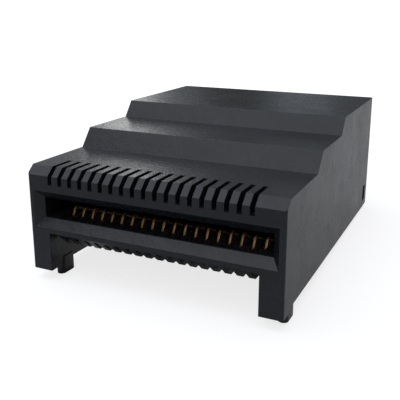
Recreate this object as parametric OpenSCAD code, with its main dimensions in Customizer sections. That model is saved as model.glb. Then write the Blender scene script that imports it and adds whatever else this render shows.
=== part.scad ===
// Board-mounted socket for a double-density pluggable transceiver module.
// Frame: X runs along the contact rows, Y runs from the mouth into the socket
// and Z up from the board. The origin is on the board, under the middle of the mouth.

/* [Contact rows] */
// Distance from one contact to the next along a row
pitch = 0.8; // [0.6:0.05:1]
// Thickness of the strip that the contacts are stamped from
lead_t = 0.2; // [0.12:0.01:0.24]
// Width of a contact from its wafer to its tail
lead_w = 0.28; // [0.18:0.01:0.32]
// Width of a contact at the tip of its spring beam
tip_w = 0.18; // [0.14:0.01:0.28]
// Depth of the front contact points behind the mouth
front_crest_y = 2.6; // [2.4:0.05:3]
// Distance from the front contact points to the rear ones
crest_spacing = 3; // [2.5:0.05:3.4]
// Distance that a free contact point reaches past the face of the card
crest_reach = 0.12; // [0.06:0.01:0.2]
// Length of the lead-in in front of a contact point
tip_run = 0.5; // [0.4:0.05:0.8]
// Height that the lead-in of a front contact bends away from the card
tip_rise = 0.9; // [0.5:0.05:1]
// Height that the lead-in of a rear contact bends away from the card
inner_tip_rise = 0.55; // [0.4:0.05:0.6]
// Length of the sloping spring beam behind a front contact point
beam_run = 3.75; // [3:0.05:4.2]
// Distance from the roof of the card slot to the middle of a rear beam where it leaves the nose
inner_beam_gap = 0.54; // [0.5:0.02:0.6]
// Distance from a rear beam up to the front beam over it, where they leave the nose
beam_layer = 0.75; // [0.6:0.05:0.8]
// Bend radius of the formed leads, to their middle line
bend_r = 0.3; // [0.2:0.05:0.45]
// Length of a solder tail along the board
tail_l = 1.1; // [0.7:0.05:1.3]
// Distance from the front of the wafers to the first row of drops to the board
first_drop = 1.7; // [1.4:0.1:2.2]
// Distance from one row of drops to the next
drop_pitch = 3.8; // [3.2:0.05:3.9]

/* [Card slot] */
// Height of the middle of the card above the board
card_z = 4.41; // [4:0.01:5]
// Distance from the last contact of a row to the side of the module's edge card
card_margin = 1.01; // [0.8:0.01:1.2]
// Thickness of the module's edge card
card_t = 1; // [0.8:0.05:1.2]
// Clearance on each side of the card
card_side_clear = 0.05; // [0.03:0.01:0.15]
// Clearance above and below the card
card_face_clear = 0.22; // [0.1:0.01:0.3]
// Depth that the card goes in
card_depth = 7.6; // [7:0.1:7.9]
// Thickness of the wall at the end of the card slot
slot_end_t = 0.7; // [0.5:0.05:1]
// Length of the bevel round the mouth, along the card
mouth_bevel_y = 0.58; // [0.3:0.02:0.8]
// Height of the bevel above and below the mouth
mouth_bevel_z = 0.6; // [0.3:0.02:0.7]
// Width of the bevel at each end of the mouth
mouth_bevel_x = 0.5; // [0.3:0.02:0.6]

/* [Housing] */
// Thickness of the plastic beside the card slot
cheek_t = 0.89; // [0.75:0.01:1.2]
// Distance from the back of the last wafer to the rear face
rear_cover = 1.1; // [0.7:0.05:1.5]
// Thickness of the roof over the contact channels of the nose
nose_roof_t = 0.73; // [0.5:0.01:1]
// Thickness of the roof over the wafers
roof_t = 1.05; // [0.8:0.01:1.3]
// Height of the chamfer along the front of the nose
chamfer_z = 0.57; // [0.3:0.02:0.8]
// Depth of the chamfer along the front of the nose
chamfer_y = 0.64; // [0.3:0.01:0.8]
// Distance from the top of the first ramp to the end of the nose
ramp_cover = 0.89; // [0.6:0.01:1.2]
// Depth that the first ramp takes
first_ramp_run = 1.08; // [0.8:0.02:1.2]
// Depth at which the second ramp starts
second_ramp_y = 12.58; // [12:0.02:13]
// Depth that the second ramp takes
second_ramp_run = 0.97; // [0.7:0.01:1.2]
// Height of the plain strip under the mouth
lip_strip = 0.31; // [0.2:0.01:0.5]
// Depth over which the underside of the nose slopes down from the lip
under_slope_y = 1.05; // [0.8:0.05:1.3]
// Depth of the nose's underside below the lower front beams
under_cover = 0.45; // [0.2:0.01:0.6]
// Rounding of the upright outer corners
corner_r = 0.16; // [0.05:0.01:0.4]

/* [Comb] */
// Width of a contact channel, and of a slot of the lower comb
slot_w = 0.38; // [0.36:0.01:0.5]
// Width of a slot of the upper comb
comb_w = 0.32; // [0.28:0.01:0.38]
// Distance from the middle of a contact to the middle of its upper comb slot, which lies on its left
comb_shift = 0.12; // [0:0.01:0.15]
// Height of the plain strip between the mouth and the upper comb slots
strip_h = 0.48; // [0.3:0.01:0.7]
// Depth of the comb slots from the front face
comb_depth = 2.4; // [2.2:0.05:3]
// Depth at which the contact channels start inside the mouth
channel_y = 0.8; // [0.75:0.05:1.5]
// Depth at which the ribs between the channels reach their full height, behind the front tips
rib_y = 3.2; // [2.8:0.05:4]
// Distance that the ribs lie lower in front of that, so that the tips stand clear
rib_relief = 0.14; // [0.05:0.01:0.2]
// Clearance of a beam to the end of its channel
channel_clear = 0.12; // [0.06:0.01:0.2]

/* [Feet and pegs] */
// Height of the side walls above the board
standoff = 0.28; // [0.15:0.01:0.4]
// Length of the foot under each front leg
front_foot_l = 1.1; // [0.8:0.05:1.1]
// Width of a rear foot
rear_foot_w = 1; // [0.6:0.05:1.2]
// Length of a rear foot
rear_foot_l = 1.4; // [1:0.05:1.8]
// Distance of the rear feet from the rear face
rear_foot_inset = 0.2; // [0.1:0.05:0.5]
// Depth of the board pegs below the board's face
peg_l = 0.7; // [0.4:0.05:1]
// Width of a board peg, whose ends are half round
peg_w = 0.66; // [0.5:0.02:0.7]
// Length of a board peg from front to rear
peg_len = 1.5; // [1:0.05:1.8]
// Depth of the front end of a board peg
peg_y = 1.1; // [1.1:0.05:1.6]
// Distance from the right peg to the outer face of its leg
peg_edge = 0.1; // [0:0.01:0.2]
// Distance that the left peg stands proud of the inner face of its leg
peg_proud = 0.06; // [0:0.01:0.2]

/* [Wafers] */
// Thickness of a wafer's arms
wafer_t = 1.2; // [1:0.05:1.3]
// Gap between the arms of an outer and an inner wafer
wafer_gap = 0.25; // [0.1:0.01:0.4]
// Height of an inner wafer's arm from the middle of the card
inner_arm_h = 1.14; // [1.1:0.01:1.3]
// Distance from the nose to the wafers, where the leads spread out
spread_run = 1; // [0.8:0.05:1.2]
// Height that the upper wafers climb under the second ramp
arm_step = 1.22; // [1:0.01:1.4]
// Height of the wafers above the board
wafer_foot_z = 0.8; // [0.6:0.05:1]
// Thickness of a wafer beyond its last contact
wafer_end = 0.2; // [0.1:0.01:0.3]
// Clearance between a wafer and the housing
fit_gap = 0.05; // [0.03:0.01:0.1]
// Height of the guide rails on the ends of a wafer
rail_h = 0.6; // [0.4:0.05:0.7]
// Distance that a guide rail reaches into the side wall
rail_reach = 0.35; // [0.2:0.01:0.5]
// Chamfer along the outer edge of a wafer's bend
wafer_chamfer = 0.5; // [0.2:0.05:0.6]
// Height of the band at the back where the rearmost leads lie bare
band_h = 2; // [1:0.1:2.5]
// Width of the latch slot low in each side wall, from front to rear
latch_w = 0.8; // [0.5:0.05:0.9]
// Distance that the latch slot runs on behind the wafer
latch_over = 0.2; // [0.1:0.05:0.3]
// Height of the latch slot
latch_h = 1.34; // [1:0.02:1.6]
// Height of the bottom of the latch slot above the board
latch_z = 0.86; // [0.84:0.02:1.1]
// Distance that a latch ear reaches into its slot
ear_reach = 0.45; // [0.4:0.05:1.2]

/* [Hidden] */

plastic = "#2b2e31";
wafer_plastic = "#1d1f22";
gold = "#c8a046";

// Positions in a row, numbered from 1, and what each group of contacts carries
row_count = 19;
grounds = [1, 4, 7, 13, 16, 19];
pair_1 = [2, 3];
pair_2 = [5, 6];
pair_3 = [14, 15];
pair_4 = [17, 18];
low_speed = [for (i = [8:12]) i];
all_positions = [for (i = [1:row_count]) i];
last_row = 3;
function position_x(i) = (i - (row_count + 1) / 2) * pitch;

// A cut runs past the face that it opens by this much
past = 0.5;
// A foot or peg reaches this far up into the wall that carries it
root = 0.3;
arc_steps = 3;
round_fn = 48;

// Card slot and mouth
row_half = position_x(row_count);
slot_half_w = row_half + card_margin + card_side_clear;
slot_half_h = card_t / 2 + card_face_clear;
mouth_half_w = slot_half_w + mouth_bevel_x;
mouth_half_h = slot_half_h + mouth_bevel_z;
lip_z = card_z - mouth_half_h - lip_strip;
upper_comb_z = card_z + mouth_half_h + strip_h;
lower_comb_z = card_z - mouth_half_h - strip_h;

// Plan of the housing: the card slot and its cheeks set the width, the row and its wafers
// set the bay between the side walls, and the last wafer sets the depth
nose_d = card_depth + slot_end_t;
arm_y = nose_d + spread_run;
body_w = 2 * (slot_half_w + cheek_t);
body_d = last_back_y() + rear_cover;
wafer_x = row_half + lead_w / 2 + wafer_end;
inner_x = wafer_x + fit_gap;
side_t = body_w / 2 - inner_x;
first_ramp_y = nose_d - ramp_cover - first_ramp_run;

// Heights of the leads from the middle of the card: the crest of a contact,
// and the beams where they leave the nose, one lead and a working gap apart
crest_h = card_t / 2 - crest_reach + lead_t / 2;
inner_beam_h = slot_half_h + inner_beam_gap;
outer_beam_h = inner_beam_h + beam_layer;
outer_arm_h = inner_arm_h + wafer_t + wafer_gap;
channel_h = outer_beam_h + lead_t / 2 + channel_clear;
under_z = card_z - outer_beam_h - lead_t / 2 - under_cover;

// Heights of the roof
nose_top = card_z + channel_h + nose_roof_t;
mid_ceiling = card_z + outer_arm_h + wafer_t / 2 + fit_gap;
mid_top = mid_ceiling + roof_t;
rear_ceiling = mid_ceiling + arm_step;
rear_top = rear_ceiling + roof_t;

// The ceiling's ramp lies behind the roof's ramp, so that the roof keeps its thickness
ramp_shift = roof_t * tan(atan2(arm_step, second_ramp_run) / 2);
ceiling_ramp_y = second_ramp_y + ramp_shift;
wafer_ramp_y = ceiling_ramp_y + fit_gap;

web_h = 2 * (inner_arm_h - wafer_t / 2 - fit_gap);
tail_z = lead_t / 2;
rail_x = wafer_x + rail_reach;
latch_y = last_back_y() + latch_over - latch_w;

// Rows of drops, from the front: lower front, lower rear, upper rear, upper front
function drop_row(upper, outer) = upper ? (outer ? last_row : last_row - 1) : (outer ? 0 : 1);
function drop_y(k) = arm_y + first_drop + k * drop_pitch;

// Depth of the back of the rearmost wafer
function last_back_y() = drop_y(last_row) + wafer_t / 2;

// Points of an arc that rounds the corner b of the path a, b, c
function unit(v) = v / norm(v);
function turn(u, v) = atan2(u[0] * v[1] - u[1] * v[0], u[0] * v[0] + u[1] * v[1]);
function spin(v, a) = [v[0] * cos(a) - v[1] * sin(a), v[0] * sin(a) + v[1] * cos(a)];
function corner(a, b, c, r) =
    let (u = unit(b - a), v = unit(c - b), t = turn(u, v), cut = r * tan(abs(t) / 2))
    let (start = b - cut * u, side = t > 0 ? 1 : -1, centre = start + r * side * [-u[1], u[0]])
    [for (k = [0:arc_steps]) centre + spin(start - centre, t * k / arc_steps)];

// A path through the points, with each inner point rounded
function rounded(p, r) =
    concat([p[0]],
           [for (i = [1:len(p) - 2]) each corner(p[i - 1], p[i], p[i + 1], r)],
           [p[len(p) - 1]]);

// The point at distance d to the left of point i of a path
function beside(p, i, d) =
    let (before = i == 0 ? unit(p[1] - p[0]) : unit(p[i] - p[i - 1]))
    let (after = i == len(p) - 1 ? before : unit(p[i + 1] - p[i]))
    let (n = unit([-before[1] - after[1], before[0] + after[0]]))
    p[i] + n * d / (n * [-before[1], before[0]]);

// The outline of a strip of thickness t along a path
function strip(p, t) =
    concat([for (i = [0:len(p) - 1]) beside(p, i, t / 2)],
           [for (i = [len(p) - 1:-1:0]) beside(p, i, -t / 2)]);

// Middle line of a spring beam, from its tip to its wafer, side 1 above the card and -1 below.
// The bend cuts the corner at the contact point, so the corner lies that much nearer to the card.
function beam(side, outer) =
    let (crest_y = front_crest_y + (outer ? 0 : crest_spacing))
    let (beam_h = outer ? outer_beam_h : inner_beam_h)
    let (run = outer ? beam_run : nose_d - crest_y - 2 * bend_r)
    let (rise = outer ? tip_rise : inner_tip_rise)
    let (bend = atan2(rise, tip_run) + atan2(beam_h - crest_h, run))
    let (corner_h = crest_h - bend_r * (1 / cos(bend / 2) - 1))
    [[crest_y - tip_run, card_z + side * (corner_h + rise)],
     [crest_y, card_z + side * corner_h],
     [crest_y + run, card_z + side * beam_h],
     [nose_d + bend_r, card_z + side * beam_h],
     [arm_y - bend_r, card_z + side * arm_h(outer)]];

function arm_h(outer) = outer ? outer_arm_h : inner_arm_h;

// Middle line of a drop to the board with its tail, which points along way
function drop(k, h, way) =
    [[drop_y(k), h], [drop_y(k), tail_z], [drop_y(k) + way * tail_l, tail_z]];

// Lower leads run straight back, upper leads climb under the second ramp first
function lower_path(outer) =
    concat(beam(-1, outer),
           drop(drop_row(false, outer), card_z - arm_h(outer), outer ? -1 : 1));
function upper_path(outer) =
    concat(beam(1, outer),
           [[wafer_ramp_y, card_z + arm_h(outer)],
            [wafer_ramp_y + second_ramp_run, card_z + arm_h(outer) + arm_step]],
           drop(drop_row(true, outer), card_z + arm_h(outer) + arm_step, outer ? 1 : -1));
function lead_path(upper, outer) =
    rounded(upper ? upper_path(outer) : lower_path(outer), bend_r);

// A shape drawn in the plane of Y and Z, made w wide about the middle plane
module across(w) {
    rotate([90, 0, 90])
        linear_extrude(height = w, center = true)
            children();
}

// Seen from above, a contact is tapered along its beam and straight from there on
module lead_plan(outer) {
    crest_y = front_crest_y + (outer ? 0 : crest_spacing);
    tip_y = crest_y - tip_run - past;
    linear_extrude(height = rear_top)
        polygon([[-tip_w / 2, tip_y], [tip_w / 2, tip_y], [tip_w / 2, crest_y],
                 [lead_w / 2, nose_d], [lead_w / 2, body_d + past],
                 [-lead_w / 2, body_d + past], [-lead_w / 2, nose_d], [-tip_w / 2, crest_y]]);
}

// One stamped and formed contact, from its tip to its solder tail
module lead(upper, outer) {
    intersection() {
        across(slot_w)
            polygon(strip(lead_path(upper, outer), lead_t));
        lead_plan(outer);
    }
}

module leads(upper, outer, positions) {
    color(gold)
        for (i = positions)
            translate([position_x(i), 0, 0])
                lead(upper, outer);
}

// Section of a wafer: an arm behind the nose, and a leg down at its drop
module wafer_section(upper, outer) {
    y = drop_y(drop_row(upper, outer));
    half = wafer_t / 2;
    mid = card_z + (upper ? 1 : -1) * arm_h(outer);
    far = mid + (upper ? arm_step : 0);
    ramp = upper ? [[wafer_ramp_y, mid - half],
                    [wafer_ramp_y + second_ramp_run, far - half]] : [];
    roof = upper ? [[wafer_ramp_y + second_ramp_run, far + half],
                    [wafer_ramp_y, mid + half]] : [];
    polygon(concat([[arm_y, mid - half]],
                   ramp,
                   [[y - half, far - half], [y - half, wafer_foot_z],
                    [y + half, wafer_foot_z], [y + half, far + half - wafer_chamfer],
                    [y + half - wafer_chamfer, far + half]],
                   roof,
                   [[arm_y, mid + half]]));
}

// A bar between the depths y0 and y1 about the height z, reaching to x on both sides
module bar(x, y0, y1, z, h) {
    translate([-x, y0, z - h / 2])
        cube([2 * x, y1 - y0, h]);
}

// Height and depths of the guide rails of a wafer
function rail_z(upper, outer) =
    card_z + (upper ? 1 : -1) * arm_h(outer) + (upper ? arm_step : 0);
function rail_y(upper) = upper ? wafer_ramp_y + second_ramp_run + fit_gap : arm_y;

// A moulded wafer with its guide rails, open where its own leads pass
module wafer(upper, outer) {
    rail_end = drop_y(drop_row(upper, outer)) + wafer_t / 2 - wafer_chamfer;
    difference() {
        union() {
            across(2 * wafer_x)
                wafer_section(upper, outer);
            bar(rail_x, rail_y(upper), rail_end, rail_z(upper, outer), rail_h);
        }
        for (i = all_positions)
            translate([position_x(i), 0, 0])
                lead(upper, outer);
    }
}

// The rearmost wafer also has latch ears, and a band where its leads lie bare
module upper_front_wafer() {
    back_y = last_back_y();
    band_z = (rear_top + wafer_foot_z) / 2;
    band_depth = wafer_t / 2 - lead_t / 2;
    band_half_w = wafer_x - wafer_end / 2;
    color(wafer_plastic)
        difference() {
            union() {
                wafer(true, true);
                bar(inner_x + ear_reach, latch_y + fit_gap, back_y - fit_gap,
                    latch_z + latch_h / 2, latch_h - 2 * fit_gap);
            }
            bar(band_half_w, back_y - band_depth, back_y + past, band_z, band_h);
            for (i = all_positions)
                translate([position_x(i), 0, 0])
                    lead(true, true);
        }
}
module upper_rear_wafer() {
    color(wafer_plastic)
        wafer(true, false);
}
module lower_rear_wafer() {
    color(wafer_plastic)
        wafer(false, false);
}
module lower_front_wafer() {
    color(wafer_plastic)
        wafer(false, true);
}

// Side view of the whole housing, filled down to the standoff
module housing_outline() {
    polygon([[0, standoff], [0, nose_top - chamfer_z], [chamfer_y, nose_top],
             [first_ramp_y, nose_top], [first_ramp_y + first_ramp_run, mid_top],
             [second_ramp_y, mid_top], [second_ramp_y + second_ramp_run, rear_top],
             [body_d, rear_top], [body_d, standoff]]);
}

// Side view of the space behind the nose, open at the rear and below
module bay_outline() {
    polygon([[nose_d, -past], [nose_d, mid_ceiling], [ceiling_ramp_y, mid_ceiling],
             [ceiling_ramp_y + second_ramp_run, rear_ceiling],
             [body_d + past, rear_ceiling], [body_d + past, -past]]);
}

// Side view of the space under the nose, between the front legs
module under_outline() {
    slope_end = [under_slope_y, under_z];
    slope_start = [0, lip_z];
    before = slope_start - past * (slope_end - slope_start);
    polygon([before, slope_end, [nose_d + past, under_z], [nose_d + past, -past],
             [before[0], -past]]);
}

// Side view of an upper contact channel
module upper_channel_outline() {
    polygon([[channel_y, card_z], [channel_y, card_z + channel_h],
             [nose_d + past, card_z + channel_h], [nose_d + past, card_z + slot_half_h],
             [card_depth, card_z + slot_half_h], [card_depth, card_z]]);
}

// A slot of the upper comb, which opens its contact channel to the front and the roof
module upper_comb_slot() {
    translate([-comb_shift - comb_w / 2, -past, upper_comb_z])
        cube([comb_w, comb_depth + past, rear_top]);
}

// Side view of a lower contact channel, which is open along the underside
module lower_channel_outline() {
    polygon([[channel_y, card_z], [channel_y, lower_comb_z], [0, lower_comb_z], [0, -past],
             [nose_d + past, -past], [nose_d + past, card_z - slot_half_h],
             [card_depth, card_z - slot_half_h], [card_depth, card_z]]);
}

// Relief of the ribs round the tips of the front contacts, above and below the card
module tip_relief() {
    half_w = row_half + slot_w / 2;
    half_h = slot_half_h + rib_relief;
    translate([-half_w, channel_y, card_z - half_h])
        cube([2 * half_w, rib_y - channel_y, 2 * half_h]);
}

// Relief beside each front leg, which takes the place of a thin last rib of the lower comb
module end_relief(side) {
    w = inner_x - row_half;
    translate([side * (row_half + w / 2) - w / 2, -past, -past])
        cube([w, comb_depth + past, lower_comb_z + past]);
}

// The card slot with the bevel round its mouth
module card_slot() {
    translate([-slot_half_w, -past, card_z - slot_half_h])
        cube([2 * slot_half_w, card_depth + past, 2 * slot_half_h]);
    spread = past / mouth_bevel_y;
    wide_x = mouth_half_w + spread * mouth_bevel_x;
    wide_z = mouth_half_h + spread * mouth_bevel_z;
    intersection() {
        across(2 * wide_x)
            polygon([[-past, card_z - wide_z], [mouth_bevel_y, card_z - slot_half_h],
                     [mouth_bevel_y, card_z + slot_half_h], [-past, card_z + wide_z]]);
        linear_extrude(height = rear_top)
            polygon([[-wide_x, -past], [-slot_half_w, mouth_bevel_y],
                     [slot_half_w, mouth_bevel_y], [wide_x, -past]]);
    }
}

// Plan of the housing, with its upright corners rounded
module housing_plan() {
    half = body_w / 2;
    translate([-half + corner_r, 0])
        square([body_w - 2 * corner_r, body_d]);
    translate([-half, corner_r])
        square([body_w, body_d - 2 * corner_r]);
    for (x = [-half + corner_r, half - corner_r])
        for (y = [corner_r, body_d - corner_r])
            translate([x, y])
                circle(r = corner_r, $fn = round_fn);
}

// Grooves for the guide rails of one wafer, open at the rear
module rail_groove(upper, outer) {
    bar(rail_x + fit_gap, rail_y(upper) - fit_gap, body_d + past,
        rail_z(upper, outer), rail_h + 2 * fit_gap);
}

// A peg with half-round ends that enters the board
module board_peg(x) {
    r = peg_w / 2;
    h = peg_l + standoff + root;
    for (y = [peg_y + r, peg_y + peg_len - r])
        translate([x, y, -peg_l])
            cylinder(r = r, h = h, $fn = round_fn);
    translate([x - r, peg_y + r, -peg_l])
        cube([peg_w, peg_len - peg_w, h]);
}

// Feet on the board: the whole leg at the front, and a block inside each rear corner
module feet() {
    h = standoff + root;
    intersection() {
        linear_extrude(height = h)
            housing_plan();
        for (side = [-1, 1]) {
            translate([side * (inner_x + side_t / 2) - side_t / 2, 0, 0])
                cube([side_t, front_foot_l, h]);
            translate([side * (inner_x + rear_foot_w / 2) - rear_foot_w / 2,
                       body_d - rear_foot_inset - rear_foot_l, 0])
                cube([rear_foot_w, rear_foot_l, h]);
        }
    }
}

module housing() {
    color(plastic) {
        difference() {
            intersection() {
                across(body_w)
                    housing_outline();
                linear_extrude(height = rear_top)
                    housing_plan();
            }
            across(2 * inner_x)
                difference() {
                    bay_outline();
                    translate([nose_d - past, card_z - web_h / 2])
                        square([ceiling_ramp_y - nose_d + past, web_h]);
                }
            across(2 * inner_x)
                under_outline();
            end_relief(-1);
            end_relief(1);
            card_slot();
            tip_relief();
            for (i = all_positions)
                translate([position_x(i), 0, 0]) {
                    across(slot_w) {
                        upper_channel_outline();
                        lower_channel_outline();
                    }
                    upper_comb_slot();
                }
            rail_groove(true, true);
            rail_groove(true, false);
            rail_groove(false, false);
            rail_groove(false, true);
            bar(body_w, latch_y, latch_y + latch_w, latch_z + latch_h / 2, latch_h);
        }
        feet();
        board_peg(-inner_x + peg_proud - peg_w / 2);
        board_peg(body_w / 2 - peg_edge - peg_w / 2);
    }
}

housing();
upper_front_wafer();
upper_rear_wafer();
lower_rear_wafer();
lower_front_wafer();
leads(true, true, grounds);  // upper_front_grounds
leads(true, true, low_speed);  // upper_front_low_speed
leads(true, true, pair_1);  // upper_front_pair_1
leads(true, true, pair_2);  // upper_front_pair_2
leads(true, true, pair_3);  // upper_front_pair_3
leads(true, true, pair_4);  // upper_front_pair_4
leads(true, false, grounds);  // upper_rear_grounds
leads(true, false, low_speed);  // upper_rear_low_speed
leads(true, false, pair_1);  // upper_rear_pair_1
leads(true, false, pair_2);  // upper_rear_pair_2
leads(true, false, pair_3);  // upper_rear_pair_3
leads(true, false, pair_4);  // upper_rear_pair_4
leads(false, false, grounds);  // lower_rear_grounds
leads(false, false, low_speed);  // lower_rear_low_speed
leads(false, false, pair_1);  // lower_rear_pair_1
leads(false, false, pair_2);  // lower_rear_pair_2
leads(false, false, pair_3);  // lower_rear_pair_3
leads(false, false, pair_4);  // lower_rear_pair_4
leads(false, true, grounds);  // lower_front_grounds
leads(false, true, low_speed);  // lower_front_low_speed
leads(false, true, pair_1);  // lower_front_pair_1
leads(false, true, pair_2);  // lower_front_pair_2
leads(false, true, pair_3);  // lower_front_pair_3
leads(false, true, pair_4);  // lower_front_pair_4
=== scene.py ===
"""Looks of a board-mounted socket for a double-density pluggable module.

The black moulded housing and its wafers keep the solids of the frame and get their plastics here.
The 76 stamped contacts are swept again as smooth plated strips on the same lines.
"""
import math

import bpy
import numpy as np
from mathutils import Euler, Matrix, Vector


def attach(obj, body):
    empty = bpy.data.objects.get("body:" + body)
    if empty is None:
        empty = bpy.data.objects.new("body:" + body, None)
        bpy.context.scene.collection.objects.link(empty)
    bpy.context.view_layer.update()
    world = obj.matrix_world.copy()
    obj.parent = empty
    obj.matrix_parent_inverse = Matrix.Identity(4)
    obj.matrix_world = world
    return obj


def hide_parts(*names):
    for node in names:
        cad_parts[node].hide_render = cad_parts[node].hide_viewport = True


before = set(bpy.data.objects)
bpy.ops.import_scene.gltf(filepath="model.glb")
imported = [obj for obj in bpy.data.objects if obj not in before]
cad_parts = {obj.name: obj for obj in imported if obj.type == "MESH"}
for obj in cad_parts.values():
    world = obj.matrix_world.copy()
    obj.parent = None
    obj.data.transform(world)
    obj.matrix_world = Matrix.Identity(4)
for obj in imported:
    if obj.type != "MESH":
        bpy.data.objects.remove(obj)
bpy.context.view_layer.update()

MM = 0.001

# Camera, fitted to the corners, the comb and the contacts in the photograph
CAMERA_PLACE_MM = (18.856, -31.752, 18.087)
CAMERA_REACH_MM = (1, 10000)
CAMERA_AZIMUTH = 25.40
CAMERA_ELEVATION = 15.14
LENS_MM = 56.17
SENSOR_MM = 36.0
SHIFT_Y = -0.075

# Contact rows, in millimetres, as the socket's drawing has them
PITCH = 0.8
ROW_COUNT = 19
LEAD_T = 0.2
LEAD_W = 0.28
TIP_W = 0.18
CREST_Y = 2.6
CREST_SPACING = 3.0
TIP_RUN = 0.5
TIP_RISE = 0.9
INNER_TIP_RISE = 0.55
BEAM_RUN = 3.75
BEND_R = 0.3
TAIL_L = 1.1
FIRST_DROP_Y = 11.0
DROP_PITCH = 3.8
CARD_Z = 4.41
CREST_H = 0.48
INNER_BEAM_H = 1.26
OUTER_BEAM_H = 2.01
INNER_ARM_H = 1.14
OUTER_ARM_H = 2.59
ARM_STEP = 1.22
NOSE_D = 8.3
ARM_Y = 9.3
RAMP_Y = 13.137
RAMP_RUN = 0.97

# Steps of the arc in a bend
BEND_STEPS = 5
# Rounding of a contact's two ends: its length, the places of its rings as shares of that length, and the shares
# of the width and the thickness that are left at the very end
END_ROUND = 0.1
END_RINGS = (0, 0.12, 0.35, 0.7, 1.0)
END_WIDTH = 0.55
END_THICKNESS = 0.35
# The section that is carried along the line
SECTION_POINTS = 16
SECTION_POWER = 7.0

# Places of the contacts in a row, by the work they do, and the rows: whether upper, and whether the outer one
GROUPS = {"grounds": (1, 4, 7, 13, 16, 19), "low_speed": (8, 9, 10, 11, 12), "pair_1": (2, 3),
          "pair_2": (5, 6), "pair_3": (14, 15), "pair_4": (17, 18)}
ROWS = {"upper_front": (True, True), "upper_rear": (True, False),
        "lower_rear": (False, False), "lower_front": (False, True)}

# Plastics: radius of the moulded edges that the shading rounds off, size of the flow marks and of the glass
# fibres, and the pits, as multiples of the grain's size and depth
EDGE_R_MM = 0.06
FLOW_MARK_MM = 2.6
FIBRE_MM = 0.35
PIT_SIZE = 3
PIT_DEPTH = 1.1
# The part of the mottle's range in which the plastic goes from dark to light, the part of the flow marks' range
# in which it gets smoother, and by how much its roughness differs from the mean at both ends of it
MOTTLE_RANGE = (0.14, 0.38)
FLOW_MARK_RANGE = (0.3, 0.7)
ROUGHNESS_SPREAD = 0.05

# Plating of the contacts: gold, darkened towards the tips by painted shade before the first depth, up to the
# second and nickel behind it, tin below a height, and how far each runs into its neighbour
TIP_SHADE_EDGE_MM = 2.34
TIP_SHADE_BLEND_MM = 0.2
GOLD_END_MM = 7.2
TIN_TOP_MM = 0.75
PLATING_BLEND_MM = 0.12
GOLD_COLOUR = "#eebe80"
NICKEL_COLOUR = "#b9b3a6"
TIN_COLOUR = "#c9cbcc"
# The brown of the painted shade on the tips
TIP_SHADE_COLOUR = "#735f4b"
PLATED_ROUGHNESS = 0.4
TIN_ROUGHNESS = 0.46
# Rolling lines: across the strip, along it, their depth, and how much rougher they make it
LINE_WIDTH_MM = 0.02
LINE_LENGTH_MM = 0.8
LINE_DEPTH_MM = 0.002
LINE_ROUGHNESS = 0.12

# The floor: half its width, its colour, its glow for the camera near the socket, the distances between which
# that glow rises to white, and the two lines that the socket stands on (depth, height)
FLOOR_HALF_MM = 1500
FLOOR_COLOUR = "#a6a6a8"
FLOOR_LIFT = 0.77
SHADOW_MM = 30
WHITE_MM = 120
STAND_FRONT_MM = (2.6, -0.7)
STAND_REAR_MM = (23.9, 0.0)
# Its glow in the gloss of the plastic, from the front to the back: painted light, seen only in reflections
GLOSS_FRONT = 0.115
GLOSS_FRONT_MM = -30
GLOSS_BACK = 0.24
GLOSS_BACK_MM = 25
# Ovals of painted light and shade in that glow: middle and half size, and the factor or the amount inside
# Painted shade in the gloss under the socket
UNDER_SOCKET_MM = ((0, 12), (9.2, 12.0))
PAINTED_SHADE_UNDER_SOCKET = 0.8
# Painted shade in the gloss under the mouth, black there
UNDER_MOUTH_MM = ((0.0, 1.7), (8.2, 3.0))
PAINTED_SHADE_UNDER_MOUTH = 0.0
# Painted light in the gloss beside the left front leg
BESIDE_LEG_MM = ((-5.0, 9.2), (4.0, 5.8))
PAINTED_LIGHT_BESIDE_LEG = 0.24
# Painted light in the gloss beside the left front leg's foot
BESIDE_FOOT_MM = ((-6.4, 3.0), (0.9, 1.6))
PAINTED_LIGHT_BESIDE_FOOT = 0.2
# An oval's edge, as shares of its half size
OVAL_EDGE = (0.85, 1.05)

# The room: its brightness on the object, low and high up, and between which heights of a direction it rises
ROOM_LOW = 0.03
ROOM_HIGH = 0.25
ROOM_RISE = (0.17, 0.6)

# Lamps: azimuth, elevation, distance, width and height in mm, brightness and colour. The ceiling box is
# mirrored by the ramps and bevels, the front lamp by the contacts, and the others by the levels of the roof.
LAMP_AIM_MM = (0, 12, 5)
LAMPS = {
    "ceiling_box": (-48, 77, 320, 600, 400, 1.29, "#eff5ff"),
    "front_lamp": (-2, 32, 600, 240, 170, 2.55, "#fffdf9"),
    "left_back_panel": (-126, 16, 800, 560, 240, 0.34, "#f4f9ff"),
    "left_back_window": (-147.3, 23, 800, 66, 480, 1.98, "#ffffff"),
    "window_edge": (-152.2, 20, 800, 70, 320, 0.22, "#e6f4ff"),
    "back_lamp": (-164.3, 7, 800, 80, 80, 0.41, "#e6f4ff"),
    "right_back_panel": (-171.5, 18, 800, 300, 200, 0.16, "#e6f4ff"),
}


def srgb(code):
    """A colour written as a hex code, turned to linear light."""
    parts = [int(code[i:i + 2], 16) / 255 for i in (1, 3, 5)]
    return tuple(c / 12.92 if c <= 0.04045 else ((c + 0.055) / 1.055) ** 2.4 for c in parts) + (1.0,)


def per_mm(size_mm):
    """The scale of a pattern whose features have this size in millimetres."""
    return 1 / (size_mm * MM)


def add(tree, kind, inputs=None, **settings):
    """Adds a node of a kind, with its settings, and with its inputs as values or as sockets to link."""
    node = tree.nodes.new(kind)
    for name, value in settings.items():
        setattr(node, name, value)
    for name, value in (inputs or {}).items():
        if isinstance(value, bpy.types.NodeSocket):
            tree.links.new(value, node.inputs[name])
        else:
            node.inputs[name].default_value = value
    return node


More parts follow.
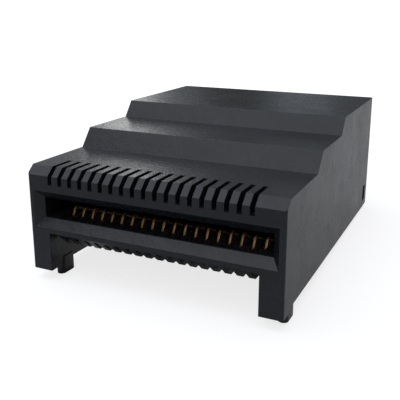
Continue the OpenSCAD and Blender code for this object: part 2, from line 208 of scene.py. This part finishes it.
def new_material(name):
    """An empty material with its shader, its output and the object's own coordinates."""
    material = bpy.data.materials.new(name)
    material.use_nodes = True
    tree = material.node_tree
    tree.nodes.clear()
    shader = add(tree, "ShaderNodeBsdfPrincipled")
    add(tree, "ShaderNodeOutputMaterial", {"Surface": shader.outputs["BSDF"]})
    place = add(tree, "ShaderNodeTexCoord").outputs["Object"]
    return material, tree, shader, place


def moulded_polymer(name, dark, light, grain_mm, grain_depth_mm, roughness):
    """Black glass-filled liquid-crystal polymer, injection moulded in an eroded tool.

    The eye sees a near-black, slightly bluish plastic whose fine grain breaks up the light,
    with faint cloudy flow marks that are a little lighter and smoother than the rest.
    The real grain and glass fibres are too fine to show, so both are drawn as coarse as they need to show.
    """
    material, tree, shader, place = new_material(name)
    cloud = add(tree, "ShaderNodeTexNoise", {"Vector": place, "Scale": per_mm(FLOW_MARK_MM), "Detail": 5.0,
                                             "Roughness": 0.6, "Distortion": 0.6})
    fibre = add(tree, "ShaderNodeTexNoise", {"Vector": place, "Scale": per_mm(FIBRE_MM), "Detail": 3.0,
                                             "Roughness": 0.65})
    mottle = add(tree, "ShaderNodeMath", {0: cloud.outputs["Fac"], 1: fibre.outputs["Fac"]},
                 operation="MULTIPLY")
    amount = add(tree, "ShaderNodeMapRange", {"Value": mottle.outputs["Value"], "From Min": MOTTLE_RANGE[0],
                                              "From Max": MOTTLE_RANGE[1]})
    colour = add(tree, "ShaderNodeMix", {"Factor": amount.outputs["Result"], "A": srgb(dark),
                                         "B": srgb(light)}, data_type="RGBA")
    tree.links.new(colour.outputs["Result"], shader.inputs["Base Color"])
    gloss = add(tree, "ShaderNodeMapRange", {"Value": cloud.outputs["Fac"], "From Min": FLOW_MARK_RANGE[0],
                                             "From Max": FLOW_MARK_RANGE[1],
                                             "To Min": roughness + ROUGHNESS_SPREAD,
                                             "To Max": roughness - ROUGHNESS_SPREAD})
    tree.links.new(gloss.outputs["Result"], shader.inputs["Roughness"])
    grain = add(tree, "ShaderNodeTexNoise", {"Vector": place, "Scale": per_mm(grain_mm), "Detail": 2.0,
                                             "Roughness": 0.7})
    pits = add(tree, "ShaderNodeTexNoise", {"Vector": place, "Scale": per_mm(PIT_SIZE * grain_mm),
                                            "Detail": 2.0, "Roughness": 0.6})
    rounded = add(tree, "ShaderNodeBevel", {"Radius": EDGE_R_MM * MM}, samples=6)
    fine = add(tree, "ShaderNodeBump", {"Height": grain.outputs["Fac"], "Strength": 1.0,
                                        "Distance": grain_depth_mm * MM,
                                        "Normal": rounded.outputs["Normal"]})
    bump = add(tree, "ShaderNodeBump", {"Height": pits.outputs["Fac"], "Strength": 1.0,
                                        "Distance": PIT_DEPTH * grain_depth_mm * MM,
                                        "Normal": fine.outputs["Normal"]})
    tree.links.new(bump.outputs["Normal"], shader.inputs["Normal"])
    shader.inputs["IOR"].default_value = 1.5
    shader.inputs["Specular IOR Level"].default_value = 0.4
    return material


def plated_strip(name):
    """Copper alloy strip, stamped and formed, gold plated over nickel where it touches the card.

    The eye sees warm gold on the spring beams, darkened to brown towards the tips by painted shade, grey nickel
    inside and behind the wafers and dull tin on the solder tails, with fine rolling lines along the strip.
    """
    material, tree, shader, place = new_material(name)
    where = add(tree, "ShaderNodeSeparateXYZ", {"Vector": place})
    behind = add(tree, "ShaderNodeMapRange", {"Value": where.outputs["Y"], "From Min": GOLD_END_MM * MM,
                                              "From Max": (GOLD_END_MM + PLATING_BLEND_MM) * MM})
    low = add(tree, "ShaderNodeMapRange", {"Value": where.outputs["Z"],
                                           "From Min": TIN_TOP_MM * MM,
                                           "From Max": (TIN_TOP_MM - PLATING_BLEND_MM) * MM})
    nickel = add(tree, "ShaderNodeMix", {"Factor": behind.outputs["Result"], "A": srgb(GOLD_COLOUR),
                                         "B": srgb(NICKEL_COLOUR)}, data_type="RGBA")
    tin = add(tree, "ShaderNodeMix", {"Factor": low.outputs["Result"], "A": nickel.outputs["Result"],
                                      "B": srgb(TIN_COLOUR)}, data_type="RGBA")
    # Painted shade: the gold darkens to brown towards the tips
    before = add(tree, "ShaderNodeMapRange", {"Value": where.outputs["Y"],
                                              "From Min": (TIP_SHADE_EDGE_MM + TIP_SHADE_BLEND_MM) * MM,
                                              "From Max": (TIP_SHADE_EDGE_MM - TIP_SHADE_BLEND_MM) * MM})
    painted_tip_shade = add(tree, "ShaderNodeMix", {"Factor": before.outputs["Result"], "A": tin.outputs["Result"],
                                       "B": srgb(TIP_SHADE_COLOUR)}, data_type="RGBA")
    tree.links.new(painted_tip_shade.outputs["Result"], shader.inputs["Base Color"])
    line_scale = (per_mm(LINE_WIDTH_MM), per_mm(LINE_LENGTH_MM), per_mm(LINE_LENGTH_MM))
    rolled = add(tree, "ShaderNodeMapping", {"Vector": place, "Scale": line_scale})
    lines = add(tree, "ShaderNodeTexNoise", {"Vector": rolled.outputs["Vector"], "Scale": 1.0, "Detail": 2.0})
    dull = add(tree, "ShaderNodeMapRange", {"Value": low.outputs["Result"], "To Min": PLATED_ROUGHNESS,
                                            "To Max": TIN_ROUGHNESS})
    gloss = add(tree, "ShaderNodeMath", {0: lines.outputs["Fac"], 1: LINE_ROUGHNESS,
                                         2: dull.outputs["Result"]}, operation="MULTIPLY_ADD")
    tree.links.new(gloss.outputs["Value"], shader.inputs["Roughness"])
    bump = add(tree, "ShaderNodeBump", {"Height": lines.outputs["Fac"], "Strength": 0.5,
                                        "Distance": LINE_DEPTH_MM * MM})
    tree.links.new(bump.outputs["Normal"], shader.inputs["Normal"])
    shader.inputs["Metallic"].default_value = 1.0
    return material


housing_plastic = moulded_polymer("black_lcp_eroded", dark="#191b1f", light="#22242a", grain_mm=0.2,
                                  grain_depth_mm=0.015, roughness=0.27)
wafer_plastic = moulded_polymer("black_lcp_wafer", dark="#191a1c", light="#212325", grain_mm=0.2,
                                grain_depth_mm=0.004, roughness=0.42)
contact_plating = plated_strip("gold_plated_copper_alloy")


def rounded_path(points, radius, steps):
    """A path of straight runs joined by arcs: each corner is cut back by radius times the tangent of half its
    turn, and the arc between the two cuts is swept about its centre in equal steps of the turn."""
    points = np.asarray(points, float)
    parts = [points[:1]]
    for before, at, after in zip(points[:-2], points[1:-1], points[2:]):
        u = (at - before) / np.linalg.norm(at - before)
        v = (after - at) / np.linalg.norm(after - at)
        turn = math.atan2(u[0] * v[1] - u[1] * v[0], u @ v)
        start = at - u * radius * math.tan(abs(turn) / 2)
        centre = start + math.copysign(radius, turn) * np.array([-u[1], u[0]])
        angle = turn * np.linspace(0, 1, steps + 1)
        x, y = start - centre
        parts.append(centre + np.stack([x * np.cos(angle) - y * np.sin(angle),
                                        x * np.sin(angle) + y * np.cos(angle)], axis=1))
    parts.append(points[-1:])
    return np.concatenate(parts)


def lead_line(upper, outer):
    """The middle line of a contact in the plane of Y and Z, from its tip to the end of its solder tail.

    The corner at the contact point lies radius * (1 / cos(half the bend) - 1) nearer to the card than the bend.
    """
    side = 1 if upper else -1
    crest_y = CREST_Y + (0 if outer else CREST_SPACING)
    beam_h = OUTER_BEAM_H if outer else INNER_BEAM_H
    arm_h = OUTER_ARM_H if outer else INNER_ARM_H
    run = BEAM_RUN if outer else NOSE_D - crest_y - 2 * BEND_R
    rise = TIP_RISE if outer else INNER_TIP_RISE
    bend = math.atan2(rise, TIP_RUN) + math.atan2(beam_h - CREST_H, run)
    corner_h = CREST_H - BEND_R * (1 / math.cos(bend / 2) - 1)
    row = (3 if outer else 2) if upper else (0 if outer else 1)
    drop_y = FIRST_DROP_Y + row * DROP_PITCH
    points = [(crest_y - TIP_RUN, CARD_Z + side * (corner_h + rise)),
              (crest_y, CARD_Z + side * corner_h),
              (crest_y + run, CARD_Z + side * beam_h),
              (NOSE_D + BEND_R, CARD_Z + side * beam_h),
              (ARM_Y - BEND_R, CARD_Z + side * arm_h)]
    top = CARD_Z + side * arm_h
    if upper:
        top += ARM_STEP
        points += [(RAMP_Y, CARD_Z + arm_h), (RAMP_Y + RAMP_RUN, top)]
    way = 1 if upper == outer else -1
    points += [(drop_y, top), (drop_y, LEAD_T / 2), (drop_y + way * TAIL_L, LEAD_T / 2)]
    return points


def strip_mesh(name, line, xs):
    """Contacts side by side at the places xs: a crowned oblong section is carried along the line.

    Around the section, x = w/2 * sgn(cos a) * |cos a|^(2/p) and depth = t/2 * sgn(sin a) * |sin a|^(2/p), with
    a from 0 to a whole turn. The width w grows evenly from the crest to the nose, and both ends are rounded off
    by a quarter of an ellipse.
    """
    path = rounded_path(line, BEND_R, BEND_STEPS)
    step = np.linalg.norm(np.diff(path, axis=0), axis=1)
    length = np.concatenate([[0], np.cumsum(step)])
    ends = END_ROUND * np.array(END_RINGS)
    want = np.unique(np.concatenate([length[1:-1], ends, length[-1] - ends]))
    path = np.stack([np.interp(want, length, path[:, k]) for k in range(2)], axis=1)
    tangent = np.gradient(path, axis=0)
    tangent /= np.linalg.norm(tangent, axis=1)[:, None]
    normal = np.stack([-tangent[:, 1], tangent[:, 0]], axis=1)
    near_end = np.clip(np.minimum(want, want[-1] - want) / END_ROUND, 0, 1)
    cap = np.sqrt(1 - (1 - near_end) ** 2)
    width = np.interp(path[:, 0], [CREST_Y, NOSE_D], [TIP_W, LEAD_W]) / 2
    width *= END_WIDTH + (1 - END_WIDTH) * cap
    thick = LEAD_T / 2 * (END_THICKNESS + (1 - END_THICKNESS) * cap)
    angle = np.linspace(0, 2 * math.pi, SECTION_POINTS, endpoint=False) + math.pi / SECTION_POINTS
    across = np.sign(np.cos(angle)) * np.abs(np.cos(angle)) ** (2 / SECTION_POWER)
    deep = np.sign(np.sin(angle)) * np.abs(np.sin(angle)) ** (2 / SECTION_POWER)
    x = width[:, None] * across
    y = path[:, :1] + normal[:, :1] * thick[:, None] * deep
    z = path[:, 1:] + normal[:, 1:] * thick[:, None] * deep
    one = np.stack([x, y, z], axis=-1).reshape(-1, 3)
    rings, around = len(path), SECTION_POINTS
    i, j = np.meshgrid(np.arange(rings - 1), np.arange(around), indexing="ij")
    here, beside = i * around + j, i * around + (j + 1) % around
    quads = np.stack([here, here + around, beside + around, beside], axis=-1).reshape(-1, 4)
    verts = np.concatenate([one + (place, 0, 0) for place in xs])
    faces = []
    for k in range(len(xs)):
        first = k * len(one)
        faces += (quads + first).tolist()
        faces.append((np.arange(around) + first).tolist())
        faces.append((np.arange(around)[::-1] + first + (rings - 1) * around).tolist())
    mesh = bpy.data.meshes.new(name)
    mesh.from_pydata(verts * MM, [], faces)
    mesh.shade_smooth()
    mesh.validate()
    return mesh


def contact_groups():
    """A smooth plated piece for each group of contacts, in place of the plain solids."""
    for row, (upper, outer) in ROWS.items():
        line = lead_line(upper, outer)
        for group, positions in GROUPS.items():
            node = f"{row}_{group}"
            xs = [(i - (ROW_COUNT + 1) / 2) * PITCH for i in positions]
            piece = bpy.data.objects.new(f"{node}_strips", strip_mesh(f"{node}_strips", line, xs))
            bpy.context.scene.collection.objects.link(piece)
            piece.data.materials.append(contact_plating)
            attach(piece, "root")
            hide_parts(node)


def paint_solids():
    """The housing and the wafers keep their solids and get their plastics."""
    for name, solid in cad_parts.items():
        if name == "housing" or name.endswith("_wafer"):
            solid.data.materials.clear()
            solid.data.materials.append(housing_plastic if name == "housing" else wafer_plastic)


def oval(tree, place, centre_mm, half_mm, inside, outside):
    """A value that runs softly from one inside an oval on the floor to another outside it."""
    scale = tuple(per_mm(half) for half in half_mm) + (0,)
    shift = tuple(-middle / half for middle, half in zip(centre_mm, half_mm)) + (0,)
    from_centre = add(tree, "ShaderNodeMapping", {"Vector": place, "Location": shift, "Scale": scale})
    away = add(tree, "ShaderNodeVectorMath", {0: from_centre.outputs["Vector"]}, operation="LENGTH")
    edge = add(tree, "ShaderNodeMapRange", {"Value": away.outputs["Value"], "From Min": OVAL_EDGE[0],
                                            "From Max": OVAL_EDGE[1], "To Min": inside, "To Max": outside})
    return edge.outputs["Result"]


def white_stage():
    """A white floor that keeps the shadow, under the pegs and the rear feet that the socket stands on.

    For the camera it glows the more the further away it lies, so that it runs into the white of the room.
    In the plastic's gloss it glows with painted light, brighter behind the socket than before it,
    with painted shade under the socket and black under its mouth, and painted light in two places beside
    the left front leg and its foot.
    """
    material = bpy.data.materials.new("white_floor")
    material.use_nodes = True
    tree = material.node_tree
    tree.nodes.clear()
    place = add(tree, "ShaderNodeTexCoord").outputs["Object"]
    away = add(tree, "ShaderNodeVectorMath", {0: place}, operation="LENGTH")
    depth = add(tree, "ShaderNodeSeparateXYZ", {"Vector": place})
    ray = add(tree, "ShaderNodeLightPath")
    seen = add(tree, "ShaderNodeMath", {0: ray.outputs["Is Camera Ray"],
                                        1: ray.outputs["Is Transmission Ray"]}, operation="MAXIMUM")
    fade = add(tree, "ShaderNodeMapRange", {"Value": away.outputs["Value"], "From Min": SHADOW_MM * MM,
                                            "From Max": WHITE_MM * MM, "To Min": FLOOR_LIFT, "To Max": 1.0})
    # Painted light in the floor's gloss, brighter behind the socket than before it
    gloss = add(tree, "ShaderNodeMapRange", {"Value": depth.outputs["Y"], "From Min": GLOSS_FRONT_MM * MM,
                                             "From Max": GLOSS_BACK_MM * MM, "To Min": GLOSS_FRONT,
                                             "To Max": GLOSS_BACK}, interpolation_type="SMOOTHSTEP")
    # Painted shade under the socket and its mouth, painted light beside the left front leg and its foot
    under = oval(tree, place, *UNDER_SOCKET_MM, PAINTED_SHADE_UNDER_SOCKET, 1.0)
    mouth = oval(tree, place, *UNDER_MOUTH_MM, PAINTED_SHADE_UNDER_MOUTH, 1.0)
    leg = oval(tree, place, *BESIDE_LEG_MM, PAINTED_LIGHT_BESIDE_LEG, 0.0)
    foot = oval(tree, place, *BESIDE_FOOT_MM, PAINTED_LIGHT_BESIDE_FOOT, 0.0)
    bright = add(tree, "ShaderNodeMath", {0: leg, 1: foot}, operation="MAXIMUM")
    dark = add(tree, "ShaderNodeMath", {0: under, 1: mouth}, operation="MULTIPLY")
    mirrored = add(tree, "ShaderNodeMath", {0: gloss.outputs["Result"], 1: dark.outputs["Value"],
                                            2: bright.outputs["Value"]}, operation="MULTIPLY_ADD")
    direct = add(tree, "ShaderNodeMath", {0: seen.outputs["Value"], 1: fade.outputs["Result"]},
                 operation="MULTIPLY")
    total = add(tree, "ShaderNodeMath", {0: ray.outputs["Is Glossy Ray"], 1: mirrored.outputs["Value"],
                                         2: direct.outputs["Value"]}, operation="MULTIPLY_ADD")
    matt = add(tree, "ShaderNodeBsdfDiffuse", {"Color": srgb(FLOOR_COLOUR)})
    glow = add(tree, "ShaderNodeEmission", {"Strength": total.outputs["Value"]})
    lit = add(tree, "ShaderNodeAddShader", {0: matt.outputs["BSDF"], 1: glow.outputs["Emission"]})
    side = add(tree, "ShaderNodeNewGeometry")
    clear = add(tree, "ShaderNodeBsdfTransparent")
    one_sided = add(tree, "ShaderNodeMixShader", {0: side.outputs["Backfacing"], 1: lit.outputs["Shader"],
                                                  2: clear.outputs["BSDF"]})
    add(tree, "ShaderNodeOutputMaterial", {"Surface": one_sided.outputs["Shader"]})
    half = FLOOR_HALF_MM * MM
    (peg_y, peg_z), (foot_y, foot_z) = STAND_FRONT_MM, STAND_REAR_MM
    slope = (foot_z - peg_z) / (foot_y - peg_y)
    height = peg_z * MM - slope * peg_y * MM
    corners = [(x * half, y * half, height + slope * y * half) for x, y in ((-1, -1), (1, -1), (1, 1), (-1, 1))]
    mesh = bpy.data.meshes.new("floor")
    mesh.from_pydata(corners, [], [(0, 1, 2, 3)])
    mesh.materials.append(material)
    floor = bpy.data.objects.new("floor", mesh)
    bpy.context.scene.collection.objects.link(floor)


def world_light():
    """A white room: dim on the object, a little brighter above, and white where the camera sees it."""
    world = bpy.data.worlds.new("white_room")
    world.use_nodes = True
    tree = world.node_tree
    tree.nodes.clear()
    ray = add(tree, "ShaderNodeLightPath")
    seen = add(tree, "ShaderNodeMath", {0: ray.outputs["Is Camera Ray"],
                                        1: ray.outputs["Is Transmission Ray"]}, operation="MAXIMUM")
    way = add(tree, "ShaderNodeSeparateXYZ", {"Vector": add(tree, "ShaderNodeTexCoord").outputs["Generated"]})
    height = add(tree, "ShaderNodeMapRange", {"Value": way.outputs["Z"], "From Min": ROOM_RISE[0],
                                              "From Max": ROOM_RISE[1], "To Min": ROOM_LOW,
                                              "To Max": ROOM_HIGH})
    strength = add(tree, "ShaderNodeMapRange", {"Value": seen.outputs["Value"],
                                                "To Min": height.outputs["Result"], "To Max": 1.0})
    glow = add(tree, "ShaderNodeBackground", {"Color": srgb("#ffffff"),
                                              "Strength": strength.outputs["Result"]})
    add(tree, "ShaderNodeOutputWorld", {"Surface": glow.outputs["Background"]})
    bpy.context.scene.world = world


def soft_lamp(name, azimuth, elevation, distance_mm, width_mm, height_mm, brightness, colour):
    """An oblong soft lamp that looks at the middle of the socket from a direction given in degrees.

    Its power is pi times its area times its brightness, where a brightness of 1 is white.
    """
    lamp = bpy.data.lights.new(name, "AREA")
    lamp.shape = "RECTANGLE"
    lamp.size = width_mm * MM
    lamp.size_y = height_mm * MM
    lamp.energy = math.pi * width_mm * height_mm * MM ** 2 * brightness
    lamp.color = srgb(colour)[:3]
    holder = bpy.data.objects.new(name, lamp)
    a, e = math.radians(azimuth), math.radians(elevation)
    way = Vector((math.sin(a) * math.cos(e), -math.cos(a) * math.cos(e), math.sin(e)))
    holder.location = Vector(LAMP_AIM_MM) * MM + way * distance_mm * MM
    holder.rotation_euler = way.to_track_quat("Z", "Y").to_euler()
    bpy.context.scene.collection.objects.link(holder)


def camera():
    """The camera at the photograph's viewing angle."""
    data = bpy.data.cameras.new("camera")
    data.lens = LENS_MM
    data.sensor_width = SENSOR_MM
    data.shift_y = SHIFT_Y
    data.clip_start = CAMERA_REACH_MM[0] * MM
    data.clip_end = CAMERA_REACH_MM[1] * MM
    holder = bpy.data.objects.new("camera", data)
    holder.location = Vector(CAMERA_PLACE_MM) * MM
    holder.rotation_euler = Euler((math.radians(90 - CAMERA_ELEVATION), 0, math.radians(CAMERA_AZIMUTH)))
    bpy.context.scene.collection.objects.link(holder)
    bpy.context.scene.camera = holder


contact_groups()
paint_solids()
white_stage()
world_light()
for lamp_name, lamp_values in LAMPS.items():
    soft_lamp(lamp_name, *lamp_values)
camera()
bpy.context.scene.view_settings.view_transform = "Standard"
